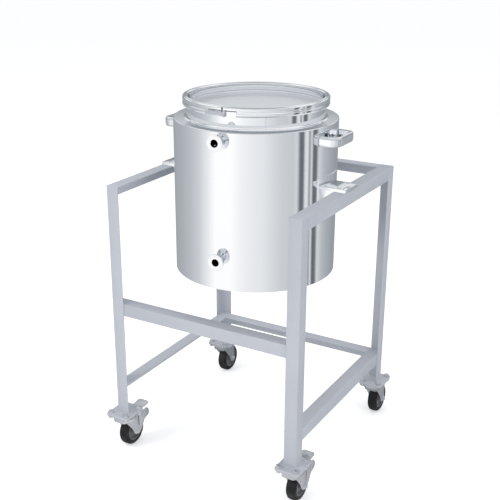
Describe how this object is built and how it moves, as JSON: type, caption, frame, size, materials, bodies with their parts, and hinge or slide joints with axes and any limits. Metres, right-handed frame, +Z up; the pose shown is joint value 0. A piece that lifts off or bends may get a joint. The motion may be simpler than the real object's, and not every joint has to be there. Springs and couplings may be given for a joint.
{
  "type": "jacketed vessel on wheeled stand",
  "caption": "Round polished metal vessel with a jacket, clamped sunk lid, hose nozzles and handles, resting by side brackets in an open square angle-bar stand on casters.",
  "frame": {"origin": "on the floor, under the middle of the whole object's box", "axes": "+Z up; +X to the right of a person who faces the open front with the nozzles; +Y to the back"},
  "size_m": [0.7, 0.747, 1.152],
  "materials": {
    "stainless_bar": "satin, ground welds",
    "stainless_polished": "mirror polished",
    "stainless_satin": "satin",
    "zinc_steel": "zinc plated",
    "black_tyre": "matte",
    "grey_hub": "matte",
    "gasket_rubber": "matte"
  },
  "bodies": {
    "stand": {"leg_front_left": "stainless_bar", "leg_front_right": "stainless_bar", "leg_back_left": "stainless_bar", "leg_back_right": "stainless_bar", "top_side_rails": "stainless_bar", "top_rail_back": "stainless_bar", "lower_side_rails": "stainless_bar", "lower_rail_back": "stainless_bar", "front_rail": "stainless_bar", "foot_plates": "stainless_bar", "caster_plates": "zinc_steel"},
    "caster_fl": {"fork_front_left": "zinc_steel", "axle_front_left": "zinc_steel", "brake_bracket_front_left": "zinc_steel"},
    "wheel_fl": {"tyre_front_left": "black_tyre", "hub_front_left": "grey_hub"},
    "brake_fl": {"brake_pedal_front_left": "zinc_steel"},
    "caster_fr": {"fork_front_right": "zinc_steel", "axle_front_right": "zinc_steel", "brake_bracket_front_right": "zinc_steel"},
    "wheel_fr": {"tyre_front_right": "black_tyre", "hub_front_right": "grey_hub"},
    "brake_fr": {"brake_pedal_front_right": "zinc_steel"},
    "caster_bl": {"fork_back_left": "zinc_steel", "axle_back_left": "zinc_steel"},
    "wheel_bl": {"tyre_back_left": "black_tyre", "hub_back_left": "grey_hub"},
    "caster_br": {"fork_back_right": "zinc_steel", "axle_back_right": "zinc_steel"},
    "wheel_br": {"tyre_back_right": "black_tyre", "hub_back_right": "grey_hub"},
    "vessel": {"inner_vessel": "stainless_polished", "jacket_shell": "stainless_polished", "jacket_shoulder": "stainless_polished", "jacket_bottom": "stainless_polished", "nozzles": "stainless_polished", "handle_left": "stainless_polished", "handle_right": "stainless_polished", "bracket_left": "stainless_polished", "bracket_right": "stainless_polished", "lid_gasket": "gasket_rubber", "lid": "stainless_satin", "clamp_band": "stainless_polished", "latch_plate": "stainless_polished"},
    "latch": {"latch_lever": "stainless_polished"}
  },
  "joints": [
    {"name": "caster_fl_swivel", "type": "hinge", "parent": "stand", "child": "caster_fl", "pos_m": [-0.31, -0.3265, 0.115], "axis": [0, 0, 1], "continuous": true},
    {"name": "wheel_fl_spin", "type": "hinge", "parent": "caster_fl", "child": "wheel_fl", "pos_m": [-0.31, -0.2965, 0.05], "axis": [1, 0, 0], "continuous": true},
    {"name": "brake_fl_press", "type": "hinge", "parent": "caster_fl", "child": "brake_fl", "pos_m": [-0.31, -0.2615, 0.104], "axis": [-1, 0, 0], "range_deg": [0, 18]},
    {"name": "caster_fr_swivel", "type": "hinge", "parent": "stand", "child": "caster_fr", "pos_m": [0.31, -0.3265, 0.115], "axis": [0, 0, 1], "continuous": true},
    {"name": "wheel_fr_spin", "type": "hinge", "parent": "caster_fr", "child": "wheel_fr", "pos_m": [0.31, -0.2965, 0.05], "axis": [1, 0, 0], "continuous": true},
    {"name": "brake_fr_press", "type": "hinge", "parent": "caster_fr", "child": "brake_fr", "pos_m": [0.31, -0.2615, 0.104], "axis": [-1, 0, 0], "range_deg": [0, 18]},
    {"name": "caster_bl_swivel", "type": "hinge", "parent": "stand", "child": "caster_bl", "pos_m": [-0.31, 0.2935, 0.115], "axis": [0, 0, 1], "continuous": true},
    {"name": "wheel_bl_spin", "type": "hinge", "parent": "caster_bl", "child": "wheel_bl", "pos_m": [-0.31, 0.3235, 0.05], "axis": [1, 0, 0], "continuous": true},
    {"name": "caster_br_swivel", "type": "hinge", "parent": "stand", "child": "caster_br", "pos_m": [0.31, 0.2935, 0.115], "axis": [0, 0, 1], "continuous": true},
    {"name": "wheel_br_spin", "type": "hinge", "parent": "caster_br", "child": "wheel_br", "pos_m": [0.31, 0.3235, 0.05], "axis": [1, 0, 0], "continuous": true},
    {"name": "vessel_lift", "type": "slide", "parent": "stand", "child": "vessel", "axis": [0, 0, 1], "range_m": [0, 0.25]},
    {"name": "latch_turn", "type": "hinge", "parent": "vessel", "child": "latch", "pos_m": [0.02383, -0.24325, 1.1315], "axis": [0, 0, 1], "range_deg": [0, 100]}
  ]
}
